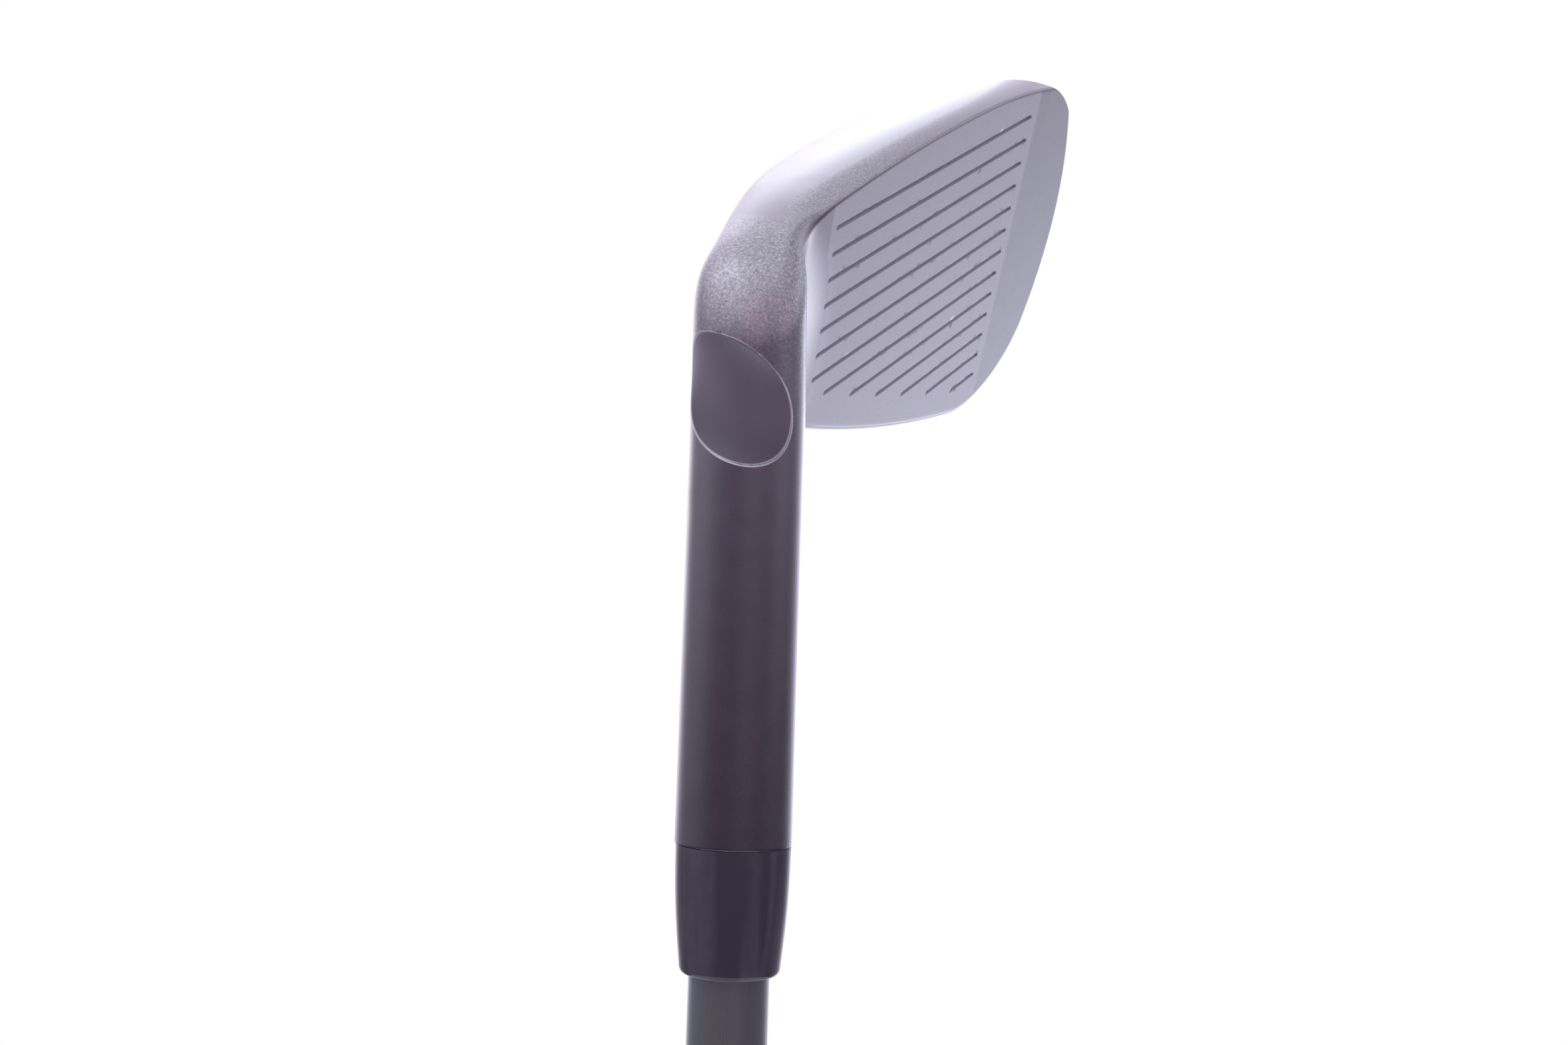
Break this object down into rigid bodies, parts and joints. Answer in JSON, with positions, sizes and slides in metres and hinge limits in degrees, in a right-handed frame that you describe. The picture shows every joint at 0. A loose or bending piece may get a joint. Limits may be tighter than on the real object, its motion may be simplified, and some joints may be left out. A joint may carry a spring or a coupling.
{
  "type": "iron golf club",
  "caption": "Right-handed iron golf club: scored steel cavity-back head with a notched hosel, black ferrule, tapered shaft and rubber grip.",
  "frame": {"origin": "centre of the flat end of the grip cap, on the shaft axis", "axes": "+Z along the shaft axis from the grip's butt to the head, +X across the shaft towards the toe, -Y towards the target, the way the face looks"},
  "size_m": [0.105, 0.0387, 0.9975],
  "materials": {
    "head_steel": "satin bead-blasted stainless steel",
    "weight_metal": "satin turned metal",
    "elastomer": "matte moulded",
    "badge_metal": "brushed and anodised",
    "brass_pin": "turned",
    "ferrule_plastic": "gloss black",
    "shaft_finish": "dark grey satin gloss",
    "grip_tape": "paper tape",
    "grip_rubber": "matte moulded rubber"
  },
  "bodies": {
    "root": {"head_casting": "head_steel", "toe_weight": "weight_metal", "damping_pad": "elastomer", "cavity_badge": "badge_metal", "tip_weight_pin": "brass_pin", "ferrule": "ferrule_plastic", "shaft": "shaft_finish", "grip_tape": "grip_tape", "grip": "grip_rubber", "grip_cap": "grip_rubber"}
  },
  "joints": []
}
